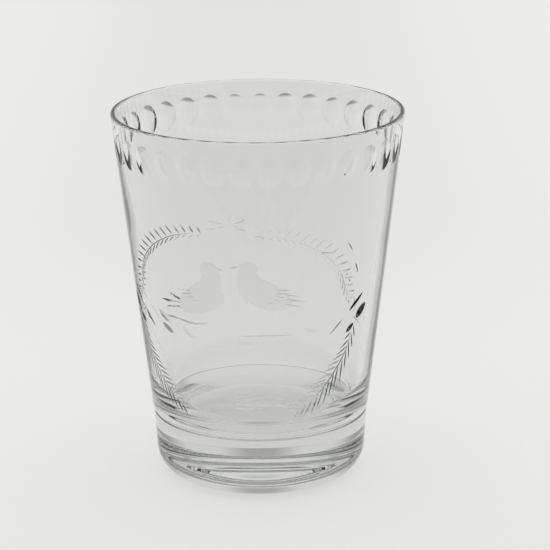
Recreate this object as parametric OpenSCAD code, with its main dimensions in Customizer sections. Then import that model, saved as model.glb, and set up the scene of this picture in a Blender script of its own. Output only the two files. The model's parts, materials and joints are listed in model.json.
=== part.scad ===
// Engraved whisky tumbler.
// A tapered, hand-blown bowl sits in the dished top of a thick solid base, and the two are
// fused there, at a fine groove that runs round the outside. A row of oval cuts runs round
// under the rim.
// Millimetres. The origin is the centre of the resting face, +Z runs up to the rim, and
// -Y is the front, where the gap between two of the oval cuts is centred.

/* [Bowl] */
// Height from the resting face to the top of the rim
height = 100; // [85:1:115]
// Outside diameter just under the rim
rim_d = 77.4; // [72:0.2:86]
// Outside diameter of the bowl at the seam
seam_d = 58.2; // [54:0.2:64]
// Thickness of the wall at the rim, which is fully rounded
rim_wall = 1.3; // [1.1:0.1:2]
// Thickness of the wall at the inner floor
low_wall = 3.7; // [3:0.1:4.5]
// Thickness of the bowl's own floor
floor_t = 1.8; // [1.2:0.1:3]
// Radius inside the bowl, where the wall meets the floor
floor_round = 13; // [6:0.5:15]
// How far the bowl's bottom sinks into the base, below the seam
sink = 3.4; // [2:0.2:4]
// Diameter of the flat underneath the bowl's bottom
bottom_d = 49; // [44:1:50]

/* [Base] */
// Height of the solid base, from the resting face to the seam
base_h = 18.2; // [14:0.2:22]
// Outside diameter at the top of the base
base_d = 57.8; // [54:0.2:64]
// Inward lean of the base's side, from its top down to the round edge
base_lean = 0.6; // [0:0.1:1.5]
// Radius of the rounded lower edge
base_round = 8; // [5:0.5:9]
// Diameter of the ground hollow in the middle of the underside
hollow_d = 34; // [20:1:34]
// Depth of that hollow
hollow_depth = 0.7; // [0.4:0.1:1.6]

/* [Seam groove] */
// Depth of the groove round the seam
groove_depth = 0.45; // [0.2:0.05:0.8]
// Half of the groove's width at the surface
groove_half = 0.5; // [0.3:0.05:0.8]

/* [Oval cuts] */
// Number of oval cuts round the rim
oval_count = 33; // [24:1:36]
// Height of one oval along the wall
oval_h = 8; // [6:0.5:9]
// Depth of one oval at its middle
oval_depth = 0.5; // [0.3:0.05:0.7]
// Distance from the rim down to the tops of the ovals
oval_drop = 4; // [3:0.5:8]

/* [Hidden] */
$fn = 96;

rim_r = rim_d / 2;
seam_r = seam_d / 2;
base_r = base_d / 2;
lip_r = rim_wall / 2;
bottom_z = base_h - sink;
floor_z = bottom_z + floor_t;
lip_z = height - lip_r;

// Outside radius of the bowl at height z, a straight cone from the seam to the lip
function out_r(z) = seam_r + (rim_r - seam_r) * (z - base_h) / (lip_z - base_h);

// Inside of the wall as a straight line from the floor's height up to the lip
low_in_r = out_r(floor_z) - low_wall;
top_in_r = out_r(lip_z) - rim_wall;
in_slope = (top_in_r - low_in_r) / (lip_z - floor_z);
in_angle = atan(in_slope);

// Centre of the inside fillet, which touches both the floor and the sloping wall
fillet_z = floor_z + floor_round;
fillet_r = low_in_r + in_slope * floor_round - floor_round / cos(in_angle);
touch_r = fillet_r + floor_round * cos(in_angle);
touch_z = fillet_z - floor_round * sin(in_angle);

// The grinding wheel that leaves an oval: a ball of this radius sunk into the wall
wheel_r = (pow(oval_h / 2, 2) + pow(oval_depth, 2)) / (2 * oval_depth);
wall_angle = atan((rim_r - seam_r) / (lip_z - base_h));
oval_z = height - oval_drop - oval_h / 2 * cos(wall_angle);

// How far the slice of the ball stands out of the wall
lens_spare = 0.05;

// The ground hollow underneath is part of a large ball too
hollow_r = (pow(hollow_d / 2, 2) + pow(hollow_depth, 2)) / (2 * hollow_depth);

// Centre of the base's round lower edge, which touches the leaning side
side_low_r = base_r - base_lean;
edge_r = side_low_r - base_round;

glass = [0.90, 0.93, 0.92, 0.45];
thick_glass = [0.78, 0.84, 0.82, 0.6];

// Radius at the bottom of the seam groove, where the bowl and the base part on the outside
groove_r = seam_r - groove_depth;

// Half section of the bowl as solid glass: the sunk bottom, its slope up to the seam groove,
// the groove's upper bevel, the wall and a round lip
module bowl_outline() {
    polygon([
        [0, bottom_z],
        [bottom_d / 2, bottom_z],
        [groove_r, base_h],
        [out_r(base_h + groove_half), base_h + groove_half],
        [out_r(lip_z), lip_z],
        [top_in_r, lip_z],
        [0, lip_z]
    ]);
    translate([out_r(lip_z) - lip_r, lip_z]) circle(lip_r);
}

// Half section of the space inside the bowl
module bowl_space() {
    polygon([
        [0, floor_z],
        [fillet_r, floor_z],
        [touch_r, touch_z],
        [top_in_r, lip_z],
        [top_in_r, height + 1],
        [0, height + 1]
    ]);
    translate([fillet_r, fillet_z]) circle(floor_round);
}

// The slice of the wheel's ball that reaches into the wall. The ball's pole is turned to
// +X, the middle of the cut, so that the cut's edge runs evenly round that pole.
module oval_lens() {
    rotate([0, 90, 0])
        intersection() {
            translate([0, 0, wheel_r]) sphere(wheel_r);
            cylinder(h = oval_depth + lens_spare, r = wheel_r);
        }
}

// One lens for every oval cut, each sunk square to the leaning wall
module oval_cutters() {
    pitch = 360 / oval_count;
    for (i = [0 : oval_count - 1])
        rotate([0, 0, -90 + (i + 0.5) * pitch])
            translate([out_r(oval_z), 0, oval_z])
                rotate([0, wall_angle, 0])
                    translate([-oval_depth, 0, 0])
                        oval_lens();
}

module bowl() {
    color(glass)
        difference() {
            rotate_extrude()
                difference() {
                    bowl_outline();
                    bowl_space();
                }
            oval_cutters();
        }
}

// Half section of the base: flat foot, round lower edge, leaning side, the groove's lower
// bevel, and the dish that the bowl's bottom sits in
module base_outline() {
    polygon([
        [0, 0],
        [edge_r, 0],
        [edge_r, base_round],
        [side_low_r, base_round],
        [base_r, base_h - groove_half],
        [groove_r, base_h],
        [bottom_d / 2, bottom_z],
        [0, bottom_z]
    ]);
    intersection() {
        translate([edge_r, base_round]) circle(base_round);
        translate([edge_r, 0]) square([base_round, base_round]);
    }
}

module base() {
    color(thick_glass)
        difference() {
            rotate_extrude() base_outline();
            translate([0, 0, hollow_depth - hollow_r]) sphere(hollow_r);
        }
}

bowl();
base();
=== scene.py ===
"""Engraved whisky tumbler: one body of clear glass, turned, cut and engraved."""

import json
import math

import bmesh
import bpy
import numpy as np
from mathutils import Matrix, Vector
from mathutils.bvhtree import BVHTree
from mathutils.interpolate import poly_3d_calc

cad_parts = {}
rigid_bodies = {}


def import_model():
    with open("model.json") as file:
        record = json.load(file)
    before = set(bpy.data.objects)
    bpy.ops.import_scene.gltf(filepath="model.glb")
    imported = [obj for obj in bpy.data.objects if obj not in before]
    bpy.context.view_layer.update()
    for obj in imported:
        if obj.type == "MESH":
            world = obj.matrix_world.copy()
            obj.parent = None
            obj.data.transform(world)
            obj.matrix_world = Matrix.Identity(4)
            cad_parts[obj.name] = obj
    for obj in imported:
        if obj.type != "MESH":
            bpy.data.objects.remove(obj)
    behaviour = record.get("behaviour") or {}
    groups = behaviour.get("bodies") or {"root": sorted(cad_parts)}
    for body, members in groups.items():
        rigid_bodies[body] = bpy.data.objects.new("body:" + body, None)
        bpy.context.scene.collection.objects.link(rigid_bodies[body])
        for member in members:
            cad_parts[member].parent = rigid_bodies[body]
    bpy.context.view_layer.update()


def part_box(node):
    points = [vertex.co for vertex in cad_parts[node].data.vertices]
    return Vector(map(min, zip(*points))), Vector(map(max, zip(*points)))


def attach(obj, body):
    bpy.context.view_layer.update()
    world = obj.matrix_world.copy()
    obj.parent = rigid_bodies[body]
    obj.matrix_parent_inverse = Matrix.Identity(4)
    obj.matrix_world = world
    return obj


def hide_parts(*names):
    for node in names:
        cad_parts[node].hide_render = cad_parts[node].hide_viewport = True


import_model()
MM = 0.001

# ---------------------------------------------------------------- sizes of the glass
# The CAD boxes give the heights; the rest repeats the part's own values.
RIM_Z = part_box("bowl")[1].z
SEAM_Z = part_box("base")[1].z
RIM_WALL = 1.3 * MM
LIP_R = RIM_WALL / 2
LIP_Z = RIM_Z - LIP_R
RIM_R = 38.7 * MM
SEAM_R = 29.1 * MM
BASE_R = 28.9 * MM
BASE_LEAN = 0.6 * MM
BASE_ROUND = 8 * MM
LOW_WALL = 3.7 * MM
FLOOR_Z = 16.6 * MM
FLOOR_REACH = 12.5 * MM
FLOOR_FULLNESS = 2.5
GROOVE_DEPTH = 0.45 * MM
GROOVE_HALF = 0.5 * MM
HOLLOW_R = 17 * MM
HOLLOW_DEPTH = 0.7 * MM
OVAL_COUNT = 33
OVAL_H = 8 * MM
OVAL_DEPTH = 0.5 * MM
OVAL_DROP = 4 * MM

SLOPE = (RIM_R - SEAM_R) / (LIP_Z - SEAM_Z)
LEAN = math.atan(SLOPE)


def wall_radius(z):
    """Outside radius of the bowl's wall at height z."""
    return SEAM_R + SLOPE * (z - SEAM_Z)


# ---------------------------------------------------------------- camera
CAMERA_AZIMUTH = math.radians(12)
CAMERA_ELEVATION = math.radians(16.93)
CAMERA_DISTANCE = 0.649
CAMERA_ROLL = math.radians(-0.57)
SENSOR_WIDTH = 36
LENS_LENGTH = 158
FRAME_SHIFT = (0.0285, 0.0287)
aim = Vector((0, 0, RIM_Z / 2))
back = Vector((
    math.sin(CAMERA_AZIMUTH) * math.cos(CAMERA_ELEVATION),
    -math.cos(CAMERA_AZIMUTH) * math.cos(CAMERA_ELEVATION),
    math.sin(CAMERA_ELEVATION),
))
camera = bpy.data.objects.new("camera", bpy.data.cameras.new("camera"))
bpy.context.scene.collection.objects.link(camera)
camera.matrix_world = (
    Matrix.Translation(aim + back * CAMERA_DISTANCE)
    @ back.to_track_quat("Z", "Y").to_matrix().to_4x4()
    @ Matrix.Rotation(CAMERA_ROLL, 4, "Z")
)
camera.data.sensor_width = SENSOR_WIDTH
camera.data.lens = LENS_LENGTH
camera.data.shift_x, camera.data.shift_y = FRAME_SHIFT
camera.data.clip_start = 0.01
bpy.context.scene.camera = camera


# ---------------------------------------------------------------- node helpers
class Nodes:
    """A node tree being built: put() adds a node, the others add a sum."""

    def __init__(self, tree):
        self.tree = tree

    def put(self, kind, links=None, **settings):
        node = self.tree.nodes.new(kind)
        for name, value in settings.items():
            setattr(node, name, value)
        for key, value in (links or {}).items():
            self.give(node.inputs[key], value)
        return node

    def give(self, socket, value):
        if isinstance(value, bpy.types.NodeSocket):
            self.tree.links.new(value, socket)
        else:
            socket.default_value = value

    def sum(self, operation, a, b=0.0, c=0.0):
        return self.put("ShaderNodeMath", {0: a, 1: b, 2: c}, operation=operation).outputs[0]

    def vector(self, x, y, z):
        return self.put("ShaderNodeCombineXYZ", {"X": x, "Y": y, "Z": z}).outputs[0]

    def parts(self, value):
        return self.put("ShaderNodeSeparateXYZ", {0: value}).outputs

    def remap(self, value, low, high, to_low, to_high, kind="SMOOTHSTEP"):
        links = {"Value": value, "From Min": low, "From Max": high, "To Min": to_low, "To Max": to_high}
        return self.put("ShaderNodeMapRange", links, interpolation_type=kind).outputs["Result"]


class GeometryTree(Nodes):
    """A geometry node tree with named inputs, closed by end()."""

    def __init__(self, name, **inputs):
        super().__init__(bpy.data.node_groups.new(name, "GeometryNodeTree"))
        face = self.tree.interface
        face.new_socket("Geometry", in_out="INPUT", socket_type="NodeSocketGeometry")
        self.ids = {}
        for label, value in inputs.items():
            kind = {bool: "Bool", int: "Int", float: "Float"}.get(type(value), "Material")
            socket = face.new_socket(label, in_out="INPUT", socket_type="NodeSocket" + kind)
            if value is not None:
                socket.default_value = value
            self.ids[label] = socket.identifier
        face.new_socket("Geometry", in_out="OUTPUT", socket_type="NodeSocketGeometry")
        self.inputs = self.put("NodeGroupInput").outputs

    def end(self, geometry):
        whole = self.put("GeometryNodeRealizeInstances", {0: geometry}).outputs[0]
        painted = self.put("GeometryNodeSetMaterial", {0: whole, "Material": self.inputs["material"]})
        self.put("NodeGroupOutput", {0: painted.outputs[0]})
        return self


def grow(tree, start, name, **values):
    """Runs a geometry tree on the mesh or curve start, and gives its result as a plain mesh."""
    holder = bpy.data.objects.new(name, start)
    bpy.context.scene.collection.objects.link(holder)
    modifier = holder.modifiers.new(name, "NODES")
    modifier.node_group = tree.tree
    for label, value in values.items():
        modifier[tree.ids[label]] = value
    shown = holder.evaluated_get(bpy.context.evaluated_depsgraph_get())
    mesh = bpy.data.meshes.new_from_object(shown)
    bpy.data.objects.remove(holder)
    mesh.name = name
    return mesh


def line_mesh(name, points):
    """A mesh of points joined in a row."""
    mesh = bpy.data.meshes.new(name)
    mesh.from_pydata([tuple(p) for p in points], [(i, i + 1) for i in range(len(points) - 1)], [])
    return mesh


def smooth_line(name, points):
    """A smooth curve through points of the unrolled wall, given as (along, up) in mm."""
    curve = bpy.data.curves.new(name, "CURVE")
    curve.dimensions = "3D"
    spline = curve.splines.new("BEZIER")
    spline.bezier_points.add(len(points) - 1)
    for knot, (along, up) in zip(spline.bezier_points, points):
        knot.co = (along * MM, up * MM, 0)
        knot.handle_left_type = knot.handle_right_type = "AUTO"
    spline.resolution_u = 12
    return curve


# ---------------------------------------------------------------- materials
# Each cut carries the label of its own finish until the glass is whole; ROUGHNESS says how
# rough the fire or the wheel left each one, in the same order.
FINISH_NAMES = ("fire_polished", "polished_cut", "satin_engraving", "soft_satin")
POLISHED, CUT, SATIN, SOFT_SATIN = FINISHES = [bpy.data.materials.new(name) for name in FINISH_NAMES]
ROUGHNESS = [0.004, 0.015, 0.32, 0.42]
GLASS_TINT = (0.905, 0.91, 0.902, 1)
GLASS_IOR = 1.51
BODY_COLOUR = (0.8, 0.81, 0.796, 1)
BODY_DENSITY = 18.0
WAVES_PER_METRE, WAVE_STRENGTH, WAVE_HEIGHT = 60.0, 0.03, 0.0003
GRAINS_PER_METRE, GRAIN_HEIGHT = 3000.0, 0.00003
NOISE_DETAIL = 3.0


def clear_glass():
    """Clear glass with a faint grey-green body; its surface is as rough as each face's finish."""
    material = bpy.data.materials.new("clear_glass")
    material.use_nodes = True
    tree = Nodes(material.node_tree)
    material.node_tree.nodes.clear()
    place = tree.put("ShaderNodeTexCoord").outputs["Object"]
    finish = tree.put("ShaderNodeAttribute", attribute_name="finish").outputs["Fac"]

    def noise(scale):
        links = {"Vector": place, "Scale": scale, "Detail": NOISE_DETAIL}
        return tree.put("ShaderNodeTexNoise", links).outputs["Fac"]

    fine = noise(GRAINS_PER_METRE)
    rough = tree.sum("MULTIPLY", finish, tree.remap(fine, 0.3, 0.7, 0.75, 1.25, "LINEAR"))
    waves = tree.put("ShaderNodeBump", {
        "Height": noise(WAVES_PER_METRE), "Strength": WAVE_STRENGTH, "Distance": WAVE_HEIGHT,
    })
    grain = tree.put("ShaderNodeBump", {
        "Height": fine, "Strength": finish, "Distance": GRAIN_HEIGHT, "Normal": waves.outputs[0],
    })
    shader = tree.put("ShaderNodeBsdfPrincipled", {
        "Base Color": GLASS_TINT,
        "Roughness": rough,
        "IOR": GLASS_IOR,
        "Transmission Weight": 1.0,
        "Normal": grain.outputs[0],
    })
    body = tree.put("ShaderNodeVolumeAbsorption", {"Color": BODY_COLOUR, "Density": BODY_DENSITY})
    tree.put("ShaderNodeOutputMaterial", {"Surface": shader.outputs[0], "Volume": body.outputs[0]})
    return material


def make_one_glass(mesh):
    """Turns the labels into a finish on each face of one material, as the glass is one body."""
    roughness = [ROUGHNESS[p.material_index] for p in mesh.polygons]
    mesh.attributes.new("finish", "FLOAT", "FACE").data.foreach_set("value", roughness)
    mesh.polygons.foreach_set("material_index", [0] * len(mesh.polygons))
    mesh.materials.clear()
    mesh.materials.append(clear_glass())


# ---------------------------------------------------------------- the turned body
def arc(centre, radius, start, end, count):
    """Points round an arc of the half section, as (radius, height); angles in degrees."""
    angles = np.radians(np.linspace(start, end, count))
    return [(centre[0] + radius * math.cos(a), centre[1] + radius * math.sin(a)) for a in angles]


def straight(start, end, count, crisp=True):
    """Points from just after start up to end, with one close to each end for crisp corners."""
    steps = list(np.linspace(0, 1, count + 1)[1:])
    length = math.dist(start, end)
    if crisp and length > 1 * MM:
        near = 0.12 * MM / length
        steps = [near] + [s for s in steps if near < s < 1 - near] + [1 - near, 1]
    return [(start[0] + (end[0] - start[0]) * t, start[1] + (end[1] - start[1]) * t) for t in steps]


def soft_bend(start, corner, end, fullness, count):
    """A blown bend between two straights: round at a fullness of 2, nearer the corner above that."""
    points = []
    for turn in np.linspace(0, math.pi / 2, count):
        first, last = 1 - math.sin(turn) ** (2 / fullness), 1 - math.cos(turn) ** (2 / fullness)
        ways = zip(start, corner, end)
        points.append(tuple(c + first * (a - c) + last * (b - c) for a, c, b in ways))
    return points


def tumbler_section():
    """Half section from the middle of the underside, round the outside and back down inside."""
    ball = (HOLLOW_R ** 2 + HOLLOW_DEPTH ** 2) / (2 * HOLLOW_DEPTH)
    points = arc((0, HOLLOW_DEPTH - ball), ball, 90, 90 - math.degrees(math.asin(HOLLOW_R / ball)), 12)
    side = BASE_R - BASE_LEAN
    edge = side - BASE_ROUND
    points += straight(points[-1], (edge, 0), 2)
    points += arc((edge, BASE_ROUND), BASE_ROUND, -90, 0, 18)[1:]
    points += straight(points[-1], (BASE_R, SEAM_Z - GROOVE_HALF), 4)
    points += straight(points[-1], (SEAM_R - GROOVE_DEPTH, SEAM_Z), 2)
    points += straight(points[-1], (wall_radius(SEAM_Z + GROOVE_HALF), SEAM_Z + GROOVE_HALF), 2)
    points += straight(points[-1], (RIM_R, LIP_Z), 40)
    points += arc((RIM_R - LIP_R, LIP_Z), LIP_R, 0, 180, 11)[1:]
    low_in = wall_radius(FLOOR_Z) - LOW_WALL
    lean_in = math.atan((RIM_R - RIM_WALL - low_in) / (LIP_Z - FLOOR_Z))
    corner = (low_in, FLOOR_Z)
    bend_top = (low_in + FLOOR_REACH * math.sin(lean_in), FLOOR_Z + FLOOR_REACH * math.cos(lean_in))
    bend = soft_bend(bend_top, corner, (low_in - FLOOR_REACH, FLOOR_Z), FLOOR_FULLNESS, 32)
    points += straight(points[-1], bend[0], 26)
    points += bend[1:]
    points += straight(points[-1], (0, FLOOR_Z), 20, crisp=False)
    return points


def turning_tree():
    """Turns a half section round the upright axis and closes its seam and both poles."""
    t = GeometryTree("turning", segments=288, material=None)
    section = t.inputs["Geometry"]
    count = t.put("GeometryNodeAttributeDomainSize", {0: section}).outputs["Point Count"]
    sheet = t.put("GeometryNodeMeshGrid", {
        "Size X": 1.0, "Size Y": 1.0,
        "Vertices X": t.sum("ADD", t.inputs["segments"], 1.0), "Vertices Y": count,
    }).outputs[0]
    at = t.parts(t.put("GeometryNodeInputPosition").outputs[0])
    angle = t.sum("MULTIPLY", t.sum("ADD", at["X"], 0.5), 2 * math.pi)
    row = t.sum("ROUND", t.sum("MULTIPLY", t.sum("ADD", at["Y"], 0.5), t.sum("SUBTRACT", count, 1.0)))
    links = {"Geometry": section, "Index": row}
    sample = t.put("GeometryNodeSampleIndex", links, data_type="FLOAT_VECTOR")
    t.give(sample.inputs["Value"], t.put("GeometryNodeInputPosition").outputs[0])
    point = t.parts(sample.outputs[0])
    placed = t.vector(
        t.sum("MULTIPLY", point["X"], t.sum("COSINE", angle)),
        t.sum("MULTIPLY", point["X"], t.sum("SINE", angle)),
        point["Z"],
    )
    turned = t.put("GeometryNodeSetPosition", {"Geometry": sheet, "Position": placed}).outputs[0]
    closed = t.put("GeometryNodeMergeByDistance", {"Geometry": turned, "Distance": 1e-7}).outputs[0]
    return t.end(t.put("GeometryNodeSetShadeSmooth", {"Geometry": closed}).outputs[0])


# Ripples fill the middle of the bowl's floor and are gone where the wall's bend begins.
RIPPLED_R, CALM_R = 9 * MM, 19 * MM
SLOW_WAVES_PER_METRE, RIPPLES_PER_METRE = 45.0, 190.0


def hand_made_tree():
    """The slow waves of blown glass, and the stronger ripples on the floor of the bowl."""
    t = GeometryTree(
        "blown unevenness", wave=0.05 * MM, ripple=0.9 * MM, floor_top=FLOOR_Z, material=None,
    )
    i = t.inputs
    here = t.put("GeometryNodeInputPosition").outputs[0]
    at = t.parts(here)
    facing = t.put("GeometryNodeInputNormal").outputs[0]

    def noise(scale, detail, seed):
        links = {0: here, 1: (seed, 0.0, 0.0)}
        shifted = t.put("ShaderNodeVectorMath", links, operation="ADD").outputs[0]
        node = t.put("ShaderNodeTexNoise", {"Vector": shifted, "Scale": scale, "Detail": detail})
        return t.sum("SUBTRACT", node.outputs["Fac"], 0.5)

    across, deep = (t.sum("MULTIPLY", at[axis], at[axis]) for axis in ("X", "Y"))
    reach = t.sum("SQRT", t.sum("ADD", across, deep))
    middle = t.remap(reach, RIPPLED_R, CALM_R, 1.0, 0.0)
    low_start, low_end = (t.sum("ADD", i["floor_top"], height * MM) for height in (1, 4))
    low = t.remap(at["Z"], low_start, low_end, 1.0, 0.0)
    under = t.sum("SUBTRACT", i["floor_top"], 2 * MM)
    off_the_base = t.remap(at["Z"], under, i["floor_top"], 0.0, 1.0)
    on_floor = t.sum("MULTIPLY", t.sum("MULTIPLY", middle, low), off_the_base)
    above_foot = t.remap(at["Z"], 1 * MM, 6 * MM, 0.0, 1.0)
    below_lip = t.remap(at["Z"], RIM_Z - 8 * MM, RIM_Z - 2 * MM, 1.0, 0.15)
    wave = t.sum("MULTIPLY", i["wave"], t.sum("MULTIPLY", above_foot, below_lip))
    slow = t.sum("MULTIPLY", noise(SLOW_WAVES_PER_METRE, 1.0, 3.0), wave)
    ripple = t.sum("MULTIPLY", i["ripple"], on_floor)
    quick = t.sum("MULTIPLY", noise(RIPPLES_PER_METRE, 1.5, 7.0), ripple)
    links = {0: facing, "Scale": t.sum("ADD", slow, quick)}
    push = t.put("ShaderNodeVectorMath", links, operation="SCALE").outputs[0]
    return t.end(t.put("GeometryNodeSetPosition", {"Geometry": i["Geometry"], "Offset": push}).outputs[0])


def face_outwards(mesh):
    """Turns every face of a closed mesh outwards."""
    shape = bmesh.new()
    shape.from_mesh(mesh)
    bmesh.ops.recalc_face_normals(shape, faces=shape.faces)
    if shape.calc_volume(signed=True) < 0:
        bmesh.ops.reverse_faces(shape, faces=shape.faces)
    shape.to_mesh(mesh)
    shape.free()
    return mesh


def turned(name, section, segments, material):
    """A closed body turned from a half section."""
    start = line_mesh(name, [(r, 0, z) for r, z in section])
    return face_outwards(grow(turning_tree(), start, name, segments=segments, material=material))


# ---------------------------------------------------------------- cutting wheels
def laid_on_wall(t, geometry):
    """Wraps a sheet round the bowl: X runs along the wall, Y is the height, Z stands off it."""
    at = t.parts(t.put("GeometryNodeInputPosition").outputs[0])
    radius = t.sum("MULTIPLY_ADD", t.sum("SUBTRACT", at["Y"], SEAM_Z), SLOPE, SEAM_R)
    angle = t.sum("DIVIDE", at["X"], radius)
    out = t.sum("MULTIPLY_ADD", at["Z"], math.cos(LEAN), radius)
    place = t.vector(
        t.sum("MULTIPLY", out, t.sum("SINE", angle)),
        t.sum("MULTIPLY", t.sum("MULTIPLY", out, t.sum("COSINE", angle)), -1.0),
        t.sum("MULTIPLY_ADD", at["Z"], -math.sin(LEAN), at["Y"]),
    )
    return t.put("GeometryNodeSetPosition", {"Geometry": geometry, "Position": place}).outputs[0]


SUNK = 0.5  # a wheel mark's middle stands off the wall by this share of its own half depth


def wheel_mark(t, sides, rings, point=1.0):
    """A spindle along X, as wide and as deep as it is long: pointed at 1, a plain ball at 0."""
    links = {"Segments": sides, "Rings": rings, "Radius": 1.0}
    ball = t.put("GeometryNodeMeshUVSphere", links).outputs[0]
    at = t.parts(t.put("GeometryNodeInputPosition").outputs[0])
    waist = t.sum("SUBTRACT", 1.0, t.sum("MULTIPLY", at["Z"], at["Z"]))
    waist = t.sum("POWER", t.sum("SQRT", t.sum("MAXIMUM", waist, 0.0)), point)
    place = t.vector(
        at["Z"],
        t.sum("MULTIPLY", at["X"], waist),
        t.sum("MULTIPLY_ADD", at["Y"], waist, SUNK),
    )
    return t.put("GeometryNodeSetPosition", {"Geometry": ball, "Position": place}).outputs[0]


def mark_scale(t, length, width, depth):
    """Scale that gives a sunk spindle this length, width and depth in the glass."""
    reach = math.sqrt(1 - SUNK)
    chord = math.sqrt(1 - SUNK ** 2)
    return t.vector(
        t.sum("DIVIDE", length, 2 * reach),
        t.sum("DIVIDE", width, 2 * chord),
        t.sum("DIVIDE", depth, 1 - SUNK),
    )


def turned_by(t, angle):
    """A turn about the upright axis."""
    return t.put("FunctionNodeEulerToRotation", {0: t.vector(0.0, 0.0, angle)}).outputs[0]


def spray_tree():
    """Leaves cut in a row along one side of a stem."""
    t = GeometryTree(
        "leaf spray", spacing=2 * MM, length=4 * MM, width=0.7 * MM, depth=0.25 * MM, lean=0.6,
        gap=0.2 * MM, swell=0.5, scatter=0.06, sides=4, rings=10, seed=1, material=None,
    )
    i = t.inputs
    links = {"Curve": i["Geometry"], "Length": i["spacing"]}
    stem = t.put("GeometryNodeResampleCurve", links, mode="LENGTH").outputs[0]
    way = t.parts(t.put("GeometryNodeInputTangent").outputs[0])
    links = {"Min": -1.0, "Max": 1.0, "Seed": i["seed"]}
    chance = t.put("FunctionNodeRandomValue", links, data_type="FLOAT")
    chance = [s for s in chance.outputs if s.enabled][0]
    angle = t.sum("ADD", t.sum("ARCTAN2", way["Y"], way["X"]), i["lean"])
    angle = t.sum("ADD", angle, t.sum("MULTIPLY", t.sum("MULTIPLY", chance, i["scatter"]), 0.6))
    share = t.put("GeometryNodeSplineParameter").outputs["Factor"]
    belly = t.sum("SINE", t.sum("MULTIPLY", share, math.pi))
    fullness = t.sum("ADD", t.sum("SUBTRACT", 1.0, i["swell"]), t.sum("MULTIPLY", i["swell"], belly))
    fullness = t.sum("MULTIPLY", fullness, t.sum("ADD", 1.0, t.sum("MULTIPLY", chance, i["scatter"])))
    length = t.sum("MULTIPLY", i["length"], fullness)
    reach = t.sum("MULTIPLY_ADD", length, 0.5, i["gap"])
    shift = t.vector(
        t.sum("MULTIPLY", reach, t.sum("COSINE", angle)),
        t.sum("MULTIPLY", reach, t.sum("SINE", angle)), 0.0,
    )
    # the angle and length are kept on the points before these move
    kept = t.put("GeometryNodeCaptureAttribute", {"Geometry": stem}, domain="POINT")
    kept.capture_items.new("FLOAT", "angle")
    kept.capture_items.new("FLOAT", "length")
    kept.capture_items.new("VECTOR", "shift")
    t.give(kept.inputs["angle"], angle)
    t.give(kept.inputs["length"], length)
    t.give(kept.inputs["shift"], shift)
    links = {"Geometry": kept.outputs[0], "Offset": kept.outputs["shift"]}
    moved = t.put("GeometryNodeSetPosition", links).outputs[0]
    leaves = t.put("GeometryNodeInstanceOnPoints", {
        "Points": moved,
        "Instance": wheel_mark(t, i["sides"], i["rings"]),
        "Rotation": turned_by(t, kept.outputs["angle"]),
        "Scale": mark_scale(t, kept.outputs["length"], i["width"], i["depth"]),
    }).outputs[0]
    whole = t.put("GeometryNodeRealizeInstances", {0: leaves}).outputs[0]
    return t.end(laid_on_wall(t, whole))


def mark_tree():
    """Single wheel marks, one on each point, turned and sized by the point's own values."""
    t = GeometryTree("wheel marks", sides=4, rings=10, point=1.0, material=None)
    i = t.inputs

    def kept(name, kind="FLOAT"):
        node = t.put("GeometryNodeInputNamedAttribute", {"Name": name}, data_type=kind)
        return [s for s in node.outputs if s.enabled][0]

    size = t.parts(kept("size", "FLOAT_VECTOR"))
    marks = t.put("GeometryNodeInstanceOnPoints", {
        "Points": i["Geometry"],
        "Instance": wheel_mark(t, i["sides"], i["rings"], i["point"]),
        "Rotation": turned_by(t, kept("turn")),
        "Scale": mark_scale(t, size["X"], size["Y"], size["Z"]),
    }).outputs[0]
    whole = t.put("GeometryNodeRealizeInstances", {0: marks}).outputs[0]
    return t.end(laid_on_wall(t, whole))


def groove_tree():
    """A fine groove along a line, tapering to nothing at both ends."""
    t = GeometryTree("groove", width=0.4 * MM, depth=0.2 * MM, step=1 * MM, sides=4, material=None)
    i = t.inputs
    links = {"Curve": i["Geometry"], "Length": i["step"]}
    path = t.put("GeometryNodeResampleCurve", links, mode="LENGTH").outputs[0]
    share = t.put("GeometryNodeSplineParameter").outputs["Factor"]
    taper = t.sum("MULTIPLY", t.sum("MULTIPLY", share, t.sum("SUBTRACT", 1.0, share)), 4.0)
    taper = t.sum("POWER", taper, 0.5)
    links = {"Curve": path, "Radius": t.sum("MAXIMUM", taper, 0.05)}
    path = t.put("GeometryNodeSetCurveRadius", links).outputs[0]
    links = {"Resolution": i["sides"], "Radius": 1.0}
    ring = t.put("GeometryNodeCurvePrimitiveCircle", links, mode="RADIUS").outputs[0]
    at = t.parts(t.put("GeometryNodeInputPosition").outputs[0])
    chord = 2 * math.sqrt(1 - SUNK ** 2)
    oval = t.vector(t.sum("MULTIPLY", at["X"], t.sum("DIVIDE", i["width"], chord)),
                    t.sum("MULTIPLY", at["Y"], t.sum("DIVIDE", i["depth"], 1 - SUNK)), 0.0)
    ring = t.put("GeometryNodeSetPosition", {"Geometry": ring, "Position": oval}).outputs[0]
    radius = t.put("GeometryNodeInputRadius").outputs[0]
    links = {"Curve": path, "Profile Curve": ring, "Scale": radius, "Fill Caps": True}
    tube = t.put("GeometryNodeCurveToMesh", links).outputs[0]
    stand_off = t.sum("MULTIPLY", t.sum("DIVIDE", i["depth"], 1 - SUNK), SUNK)
    links = {"Geometry": tube, "Offset": t.vector(0.0, 0.0, stand_off)}
    tube = t.put("GeometryNodeSetPosition", links).outputs[0]
    return t.end(laid_on_wall(t, tube))


SPRAY, MARKS, GROOVE = spray_tree(), mark_tree(), groove_tree()


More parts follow.
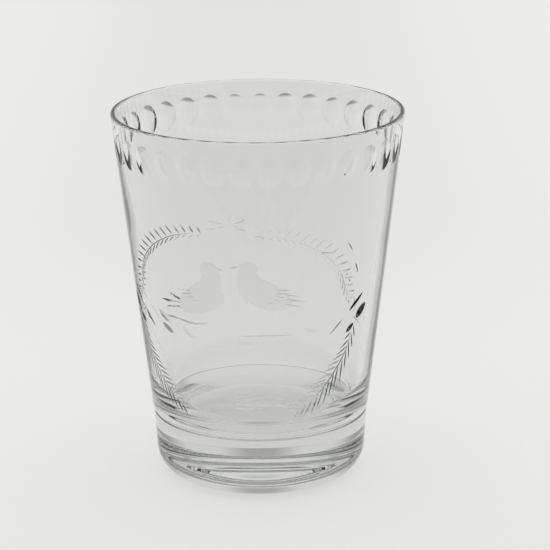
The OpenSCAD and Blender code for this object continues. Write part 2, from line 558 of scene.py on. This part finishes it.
def marks(name, rows, material, sides=4, rings=10, point=1.0):
    """Cuts given as (from, to, width, depth), with the two ends as (along, up); all in mm."""
    middles = [((a[0] + b[0]) / 2 * MM, (a[1] + b[1]) / 2 * MM, 0) for a, b, _, _ in rows]
    start = bpy.data.meshes.new(name)
    start.from_pydata(middles, [], [])
    turn = start.attributes.new("turn", "FLOAT", "POINT")
    size = start.attributes.new("size", "FLOAT_VECTOR", "POINT")
    for n, (a, b, width, depth) in enumerate(rows):
        turn.data[n].value = math.atan2(b[1] - a[1], b[0] - a[0])
        size.data[n].vector = (math.dist(a, b) * MM, width * MM, depth * MM)
    return grow(MARKS, start, name, sides=sides, rings=rings, point=point, material=material)


def patch(name, centre, length, width, tilt, depth):
    """A shallow satin oval, tilted by degrees; all in mm."""
    reach = length / 2 * math.sqrt((1 - SUNK) / (1 - SUNK ** 2))
    way = (reach * math.cos(math.radians(tilt)), reach * math.sin(math.radians(tilt)))
    ends = [(centre[0] - way[0], centre[1] - way[1]), (centre[0] + way[0], centre[1] + way[1])]
    return marks(name, [(*ends, width, depth)], SOFT_SATIN, sides=28, rings=18, point=0.0)


def groove(name, points, width, depth, material, sides=4, step=0.8):
    """A groove along points of the wall; all in mm."""
    return grow(GROOVE, smooth_line(name, points), name, width=width * MM, depth=depth * MM,
                step=step * MM, sides=sides, material=material)


def spray(name, points, material, **sizes):
    """Leaves along one side of a stem through points of the wall, given in mm."""
    return grow(SPRAY, smooth_line(name, points), name, material=material, **sizes)


def both_sides(points):
    """The same points on the right and, mirrored, on the left."""
    return [points, [(-along, up) for along, up in points]]


# ---------------------------------------------------------------- the cuts
def ring_tree():
    """Copies of one cutter set evenly round the upright axis, each a little off its place."""
    t = GeometryTree("ring of cuts", count=OVAL_COUNT, scatter=0.1 * MM, seed=11, material=None)
    i = t.inputs
    chance = t.put("FunctionNodeRandomValue", {"Seed": i["seed"]}, data_type="FLOAT_VECTOR").outputs[0]
    links = {0: chance, 1: (0.5, 0.5, 0.5)}
    chance = t.put("ShaderNodeVectorMath", links, operation="SUBTRACT").outputs[0]
    off = t.put("ShaderNodeVectorMath", {0: chance, "Scale": i["scatter"]}, operation="SCALE").outputs[0]
    points = t.put("GeometryNodePoints", {"Count": i["count"], "Position": off}).outputs[0]
    step = t.sum("DIVIDE", 2 * math.pi, i["count"])
    order = t.put("GeometryNodeInputIndex").outputs[0]
    cutters = t.put("GeometryNodeInstanceOnPoints", {
        "Points": points,
        "Instance": i["Geometry"],
        "Rotation": turned_by(t, t.sum("MULTIPLY", t.sum("ADD", order, 0.5), step)),
    }).outputs[0]
    return t.end(cutters)


LENS_SPARE = 0.15 * MM  # how far an oval's cutter stands out of the wall


def oval_cutters():
    """The balls of the ovals' wheel, each sunk square to the leaning wall."""
    wheel = ((OVAL_H / 2) ** 2 + OVAL_DEPTH ** 2) / (2 * OVAL_DEPTH)
    edge = math.degrees(math.acos(1 - (OVAL_DEPTH + LENS_SPARE) / wheel))
    bowl = arc((0, wheel), wheel, -90, -90 + edge, 12)
    lens = turned("oval_lens", bowl + [(0, bowl[-1][1])], 40, CUT)
    height = RIM_Z - OVAL_DROP - OVAL_H / 2 * math.cos(LEAN)
    lens.transform(
        Matrix.Translation((0, -wall_radius(height), height))
        @ Matrix.Rotation(LEAN, 4, "X")
        @ Matrix.Translation((0, OVAL_DEPTH, 0))
        @ Matrix.Rotation(math.radians(90), 4, "X")
    )
    return grow(ring_tree(), lens, "ovals", material=CUT)


def cut(body, cutter):
    """Takes a cutter's shape out of the glass; its faces keep the cutter's finish."""
    for mesh in (body, cutter):
        paint(mesh)
    tool = bpy.data.objects.new("cutter", cutter)
    work = bpy.data.objects.new("work", body)
    for o in (tool, work):
        bpy.context.scene.collection.objects.link(o)
    modifier = work.modifiers.new("cut", "BOOLEAN")
    modifier.operation = "DIFFERENCE"
    modifier.solver = "MANIFOLD"
    modifier.object = tool
    bpy.context.view_layer.update()
    result = bpy.data.meshes.new_from_object(work.evaluated_get(bpy.context.evaluated_depsgraph_get()))
    for o in (tool, work):
        bpy.data.objects.remove(o)
    return result


def paint(mesh):
    """Gives a mesh the full list of finishes, with each face on the one it already has."""
    by_slot = [FINISHES.index(label) if label else 0 for label in mesh.materials]
    kept = [by_slot[p.material_index] for p in mesh.polygons]
    mesh.materials.clear()
    for finish in FINISHES:
        mesh.materials.append(finish)
    mesh.polygons.foreach_set("material_index", kept)


# lines on the unrolled wall are points (along, up) in mm
UPPER_STEM = [
    (7.5, 75.2), (13.7, 74.3), (20.8, 71.4), (26.3, 67.4), (29.7, 63.0), (31.4, 58.0), (33.4, 53.2),
]
LOWER_STEM = [
    (34.4, 47.2), (33.4, 44.4), (31.4, 40.4), (28.4, 36.4), (24.6, 32.2), (20.6, 28.8), (16.6, 26.2),
]
BRANCH = [(-23.5, 49.6), (-19.5, 50.6), (-15.4, 50.4), (-9.9, 50.0), (-5.3, 51.1)]
GROUND = [(-1.0, 47.6), (8.0, 47.8), (17.0, 47.6)]
# every cut below is (from, to, width, depth), in mm
ROSETTE = [
    ((-1.2, 78.3), (-6.0, 78.8), 0.7, 0.22), ((-1.0, 77.7), (-3.3, 77.0), 0.5, 0.18),
    ((-0.2, 78.9), (0.1, 80.6), 0.6, 0.22), ((1.0, 78.4), (4.5, 79.5), 0.6, 0.22),
    ((1.0, 77.8), (2.8, 77.5), 0.5, 0.15), ((-3.0, 76.9), (-6.3, 76.5), 0.5, 0.15),
    ((1.6, 77.2), (4.7, 76.6), 0.5, 0.18), ((6.2, 75.2), (9.4, 74.7), 0.7, 0.2),
]
BOW_LOOPS = [
    ((32.6, 51.5), (38.3, 55.5), 1.0, 0.4), ((35.3, 48.8), (39.6, 52.3), 2.6, 0.75),
    ((31.4, 45.5), (34.4, 47.7), 1.5, 0.5),
]
BOW_ENDS = [
    ((34.9, 52.6), (34.4, 54.9), 0.5, 0.2), ((33.4, 50.0), (36.8, 46.9), 0.7, 0.3),
    ((30.6, 50.1), (25.3, 45.8), 0.7, 0.32),
]
RIGHT_DASHES = [
    ((32.0, 70.9), (33.9, 68.0), 0.9, 0.4), ((34.8, 64.8), (35.8, 61.8), 0.9, 0.4),
    ((31.3, 62.4), (32.0, 61.9), 0.5, 0.25), ((32.4, 60.6), (32.9, 59.9), 0.5, 0.25),
    ((22.6, 69.9), (28.0, 69.1), 0.8, 0.2),
]
TWIGS = [
    ((-23.3, 51.4), (-18.2, 48.9), 2.0, 0.35), ((-21.9, 48.1), (-17.8, 45.8), 1.5, 0.45),
    ((-14.8, 48.6), (-10.4, 45.6), 1.4, 0.2), ((18.2, 49.0), (22.4, 47.9), 0.9, 0.15),
    ((1.0, 45.9), (5.4, 45.6), 0.6, 0.12),
]
# a dove's ovals are (along, up, length, width, tilt in degrees, depth), in mm
LEFT_BIRD = [
    (-8.9, 56.5, 14.4, 6.8, 17, 0.26), (-9.6, 58.3, 11.6, 5.4, 40, 0.24),
    (-5.6, 60.6, 10.6, 6.4, 84, 0.22), (-5.9, 65.3, 5.2, 4.8, 0, 0.2),
]
LEFT_PLUMES = [
    ((-4.3, 66.2), (-1.9, 65.5), 0.9, 0.25), ((-14.6, 56.0), (-18.6, 57.3), 1.1, 0.4),
    ((-15.0, 55.1), (-21.7, 55.0), 1.3, 0.4), ((-14.6, 54.2), (-20.0, 53.2), 1.1, 0.35),
]
RIGHT_BIRD = [
    (8.9, 58.4, 13.8, 6.4, -18, 0.22), (9.3, 60.2, 10.4, 4.8, -36, 0.2),
    (4.6, 62.0, 10.2, 6.2, 98, 0.2), (4.3, 66.0, 5.2, 4.8, 0, 0.18),
]
RIGHT_PLUMES = [
    ((2.2, 66.8), (-0.4, 66.4), 0.9, 0.22), ((12.6, 57.8), (19.6, 56.4), 1.0, 0.25),
    ((12.4, 56.6), (18.4, 55.1), 1.0, 0.22), ((13.2, 58.8), (17.4, 58.2), 0.8, 0.18),
]


def bird(name, ovals, plumes):
    """A dove: satin ovals for body, breast and head, then a polished beak and tail."""
    cuts = [patch(f"{name}_{n}", (x, z), long, wide, tilt, depth)
            for n, (x, z, long, wide, tilt, depth) in enumerate(ovals)]
    return cuts + [marks(f"{name}_plumes", plumes, CUT)]


WING_SPREAD = (3.4, 3.0)
FEATHER, FEATHER_WIDTH, FEATHER_DEPTH = 4.2, 0.45, 0.34
FEATHER_DROP, FEATHER_FAN = 1.3, 1.1


def feathers(name, centre, count, way):
    """Fine parallel strokes across a wing, fanning out towards the tail."""
    rows = []
    for n in range(count):
        share = n / (count - 1)
        x = centre[0] + way * (0.5 - share) * WING_SPREAD[0]
        z = centre[1] + (share - 0.5) * WING_SPREAD[1]
        tip = (x - way * (FEATHER + share), z - FEATHER_DROP + FEATHER_FAN * share)
        rows.append(((x, z), tip, FEATHER_WIDTH, FEATHER_DEPTH))
    return marks(name, rows, CUT)


SEED_STRETCH = 1.4


def seeds(name, places):
    """Tiny air bubbles in the glass, each (degrees from the front, radius, height, size) in mm."""
    shape = bmesh.new()
    for degrees, radius, height, size in places:
        turn = math.radians(degrees)
        spot = Vector((radius * math.sin(turn), -radius * math.cos(turn), height)) * MM
        placed = Matrix.Translation(spot) @ Matrix.Diagonal((1, 1, SEED_STRETCH, 1))
        bmesh.ops.create_icosphere(shape, subdivisions=2, radius=size / 2 * MM, matrix=placed)
    mesh = bpy.data.meshes.new(name)
    shape.to_mesh(mesh)
    shape.free()
    mesh.materials.append(POLISHED)
    return mesh


SLIVER = 0.002 * MM  # the shortest edge that is kept
ROUND_STEPS = 288
SEEDS = [
    (48.3, 36.7, 89.5, 0.45), (-20.0, 34.4, 71.0, 0.2), (5.0, 9.0, 12.0, 0.35),
    (14.0, 11.0, 9.5, 0.3), (-160.0, 33.0, 60.0, 0.25),
]


def drop_slivers(mesh):
    """Closes up the slivers that the cuts left, and splits faces with more than four corners."""
    shape = bmesh.new()
    shape.from_mesh(mesh)
    bmesh.ops.dissolve_degenerate(shape, dist=SLIVER, edges=shape.edges)
    bmesh.ops.triangulate(shape, faces=[f for f in shape.faces if len(f.verts) > 4])
    shape.to_mesh(mesh)
    shape.free()


# ---------------------------------------------------------------- the whole glass
solid = turned("tumbler_glass", tumbler_section(), ROUND_STEPS, POLISHED)
solid = grow(hand_made_tree(), solid, "tumbler_glass", material=POLISHED)
paint(solid)
pristine = solid.copy()

RIGHT_STRENGTH = 0.45  # the right upper spray is cut less deep than the left one
cutters = [oval_cutters()]
for side, (upper, lower) in enumerate(zip(both_sides(UPPER_STEM), both_sides(LOWER_STEM))):
    hand = 1 if side == 0 else -1
    strong = RIGHT_STRENGTH if side == 0 else 1.0
    loops, ends = ([((hand * a[0], a[1]), (hand * b[0], b[1]), w, d) for a, b, w, d in rows]
                   for rows in (BOW_LOOPS, BOW_ENDS))
    cutters += [
        spray(f"upper_outer_{side}", upper, SATIN, spacing=2.1 * MM, length=4.1 * MM, width=0.8 * MM,
              depth=0.28 * MM * strong, lean=hand * math.radians(62), seed=3 + side),
        spray(f"upper_inner_{side}", upper, SATIN, spacing=2.0 * MM, length=3.4 * MM, width=0.6 * MM,
              depth=0.2 * MM * strong, lean=-hand * math.radians(30), seed=5 + side),
        spray(f"lower_outer_{side}", lower, SATIN, spacing=2.3 * MM, length=7.2 * MM, width=0.75 * MM,
              depth=0.28 * MM, lean=hand * math.radians(25), seed=7 + side),
        spray(f"lower_inner_{side}", lower, SATIN, spacing=2.0 * MM, length=5.4 * MM, width=0.7 * MM,
              depth=0.2 * MM, lean=-hand * math.radians(38), seed=9 + side),
        groove(f"upper_stem_{side}", upper, 0.45, 0.22 * strong, SATIN),
        groove(f"lower_stem_{side}", lower, 0.5, 0.25, SATIN),
        marks(f"bow_loops_{side}", loops, CUT, sides=8, rings=14),
        marks(f"bow_ends_{side}", ends, CUT, sides=6, rings=12),
    ]
cutters += [marks("rosette", ROSETTE, SATIN), marks("right_dashes", RIGHT_DASHES, CUT, sides=6)]
cutters += bird("left_bird", LEFT_BIRD, LEFT_PLUMES) + bird("right_bird", RIGHT_BIRD, RIGHT_PLUMES)
cutters += [
    feathers("left_wing", (-9.0, 57.6), 5, 1), feathers("right_wing", (9.6, 58.8), 5, -1),
    groove("branch", BRANCH, 1.0, 0.2, SATIN), groove("ground", GROUND, 0.45, 0.12, SATIN),
    marks("twigs", TWIGS, SATIN, sides=8, rings=12),
    seeds("seeds", SEEDS),
]
for cutter in cutters:
    solid = cut(solid, cutter)
paint(solid)
drop_slivers(solid)


# ---------------------------------------------------------------- clean shading
SMOOTH_DOT = 0.8  # two cut faces shade as one when their normals agree by more than this


def settle_normals(mesh, original):
    """Uncut faces keep the turned body's shading; cut faces are smooth among themselves."""
    tree_verts = [v.co.copy() for v in original.vertices]
    faces = [tuple(p.vertices) for p in original.polygons]
    near = BVHTree.FromPolygons(tree_verts, faces)
    smooth = [v.normal.copy() for v in original.vertices]
    mesh.polygons.foreach_set("use_smooth", [True] * len(mesh.polygons))
    around = {}
    for p in mesh.polygons:
        if p.material_index:
            for v in p.vertices:
                around.setdefault(v, []).append(p.index)
    normals = [None] * len(mesh.loops)
    known = {}
    for p in mesh.polygons:
        for loop, v in zip(p.loop_indices, p.vertices):
            if p.material_index:
                total = Vector((0, 0, 0))
                for other in around[v]:
                    q = mesh.polygons[other]
                    if q.normal.dot(p.normal) > SMOOTH_DOT:
                        total += q.normal * q.area
                normals[loop] = total.normalized() if total.length > 0 else p.normal
            else:
                if v not in known:
                    spot, _, index, _ = near.find_nearest(mesh.vertices[v].co)
                    corners = faces[index]
                    shares = poly_3d_calc([tree_verts[c] for c in corners], spot)
                    total = Vector((0, 0, 0))
                    for share, c in zip(shares, corners):
                        total += smooth[c] * share
                    known[v] = total.normalized()
                normals[loop] = known[v]
    mesh.normals_split_custom_set(normals)


settle_normals(solid, pristine)
make_one_glass(solid)
solid.name = "tumbler_glass"
tumbler = bpy.data.objects.new("tumbler_glass", solid)
bpy.context.scene.collection.objects.link(tumbler)
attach(tumbler, "root")
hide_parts("bowl", "base")

# ---------------------------------------------------------------- floor and light
FLOOR_HALF = 3.0
FLOOR_GLOW = 0.58
FLOOR_WHITE = 0.35
BACK_LIGHT = 0.8
CENTRE_LIGHT = 0.45
SIDE_LIGHT = 0.2
FRONT_LIGHT = 0.25
TOP_LIGHT = 0.9
# painted shade on the floor's glow: darker far behind the glass, a painted soft shadow of the glass
# straight behind it, and a little dimmer in front of the glass
PAINTED_FAR_SHADE = 0.78
PAINTED_SHADOW_BEHIND = 0.11
GLOW_COLOUR = (1.0, 1.0, 0.985, 1)
NEAR_LEVEL, FULL_LEVEL = 0.93, 0.985
# metres along and across the view over which the floor's levels change
NEAR_SPAN, BEHIND_SPAN, FAR_SPAN, CENTRE_SPAN = (-0.2, 0.1), (0.04, 0.3), (0.71, 0.9), (0.02, 0.14)
# the same for the sky, as shares of a level look round and of a look up
BRIGHT_SPAN, SIDE_SPAN, ROUND_SPAN, UP_SPAN = (0.05, 0.3), (0.5, 0.9), (-0.3, 0.3), (0.3, 0.7)


def level_part(tree, place, x_share, y_share):
    """The part of a place or a direction that lies along a level line."""
    x, y = tree.sum("MULTIPLY", place["X"], x_share), tree.sum("MULTIPLY", place["Y"], y_share)
    return tree.sum("ADD", x, y)


def along_view(tree, place):
    """How far a place or a direction lies along the camera's way of looking, on the level."""
    return level_part(tree, place, -math.sin(CAMERA_AZIMUTH), math.cos(CAMERA_AZIMUTH))


def across_view(tree, place):
    """How far it lies to either side of that."""
    part = level_part(tree, place, math.cos(CAMERA_AZIMUTH), math.sin(CAMERA_AZIMUTH))
    return tree.sum("ABSOLUTE", part)


def floor_material():
    """Pale sheet that passes some light from below, with painted shade in its glow: a little dimmer in
    front of the glass, darker far behind it, and a painted soft shadow straight behind the glass.
    """
    material = bpy.data.materials.new("studio_floor")
    material.use_nodes = True
    material.node_tree.nodes.clear()
    t = Nodes(material.node_tree)
    place = t.parts(t.put("ShaderNodeTexCoord").outputs["Object"])
    depth = along_view(t, place)
    # painted shade: the glow is a little dimmer in front of the glass
    near = t.remap(depth, *NEAR_SPAN, NEAR_LEVEL, FULL_LEVEL)
    # painted shade far behind the glass
    far = t.remap(depth, *FAR_SPAN, 0.0, PAINTED_FAR_SHADE)
    # a painted soft shadow of the glass, straight behind it
    middle = t.remap(across_view(t, place), *CENTRE_SPAN, PAINTED_SHADOW_BEHIND, 0.0)
    behind = t.remap(depth, *BEHIND_SPAN, 0.0, 1.0)
    level = t.sum("SUBTRACT", t.sum("SUBTRACT", near, far), t.sum("MULTIPLY", middle, behind))
    sheet = (FLOOR_WHITE, FLOOR_WHITE, FLOOR_WHITE * 0.99, 1)
    white = t.put("ShaderNodeBsdfDiffuse", {"Color": sheet}).outputs[0]
    strength = t.sum("MULTIPLY", level, FLOOR_GLOW)
    glow = t.put("ShaderNodeEmission", {"Color": GLOW_COLOUR, "Strength": strength})
    both = t.put("ShaderNodeAddShader", {0: white, 1: glow.outputs[0]}).outputs[0]
    t.put("ShaderNodeOutputMaterial", {"Surface": both})
    return material


def studio_world():
    """Soft light: bright behind and above, duller straight behind and at the sides."""
    world = bpy.data.worlds.new("studio")
    world.use_nodes = True
    world.node_tree.nodes.clear()
    t = Nodes(world.node_tree)
    way = t.parts(t.put("ShaderNodeTexCoord").outputs["Generated"])
    ahead, aside = along_view(t, way), across_view(t, way)
    behind = t.remap(aside, *BRIGHT_SPAN, CENTRE_LIGHT, BACK_LIGHT)
    behind = t.sum("SUBTRACT", behind, t.remap(aside, *SIDE_SPAN, 0.0, BACK_LIGHT - SIDE_LIGHT))
    round_about = t.remap(ahead, *ROUND_SPAN, 0.0, 1.0)
    level = t.sum("ADD", t.sum("MULTIPLY", behind, round_about),
                  t.sum("MULTIPLY", t.sum("SUBTRACT", 1.0, round_about), FRONT_LIGHT))
    above = t.remap(way["Z"], *UP_SPAN, 0.0, 1.0)
    level = t.sum("ADD", t.sum("MULTIPLY", level, t.sum("SUBTRACT", 1.0, above)),
                  t.sum("MULTIPLY", above, TOP_LIGHT))
    sky = t.put("ShaderNodeBackground", {"Color": (1.0, 1.0, 1.0, 1), "Strength": level})
    t.put("ShaderNodeOutputWorld", {"Surface": sky.outputs[0]})
    return world


floor_mesh = bpy.data.meshes.new("studio_floor")
corners = [(-1, -1, 0), (1, -1, 0), (1, 1, 0), (-1, 1, 0)]
floor_mesh.from_pydata([(FLOOR_HALF * x, FLOOR_HALF * y, z) for x, y, z in corners], [], [(0, 1, 2, 3)])
floor_mesh.materials.append(floor_material())
floor = bpy.data.objects.new("studio_floor", floor_mesh)
bpy.context.scene.collection.objects.link(floor)
bpy.context.scene.world = studio_world()

scene = bpy.context.scene
scene.view_settings.view_transform = "Standard"
scene.cycles.use_denoising = True
scene.cycles.max_bounces = 24
scene.cycles.transmission_bounces = 24
scene.cycles.transparent_max_bounces = 16
scene.cycles.glossy_bounces = 12
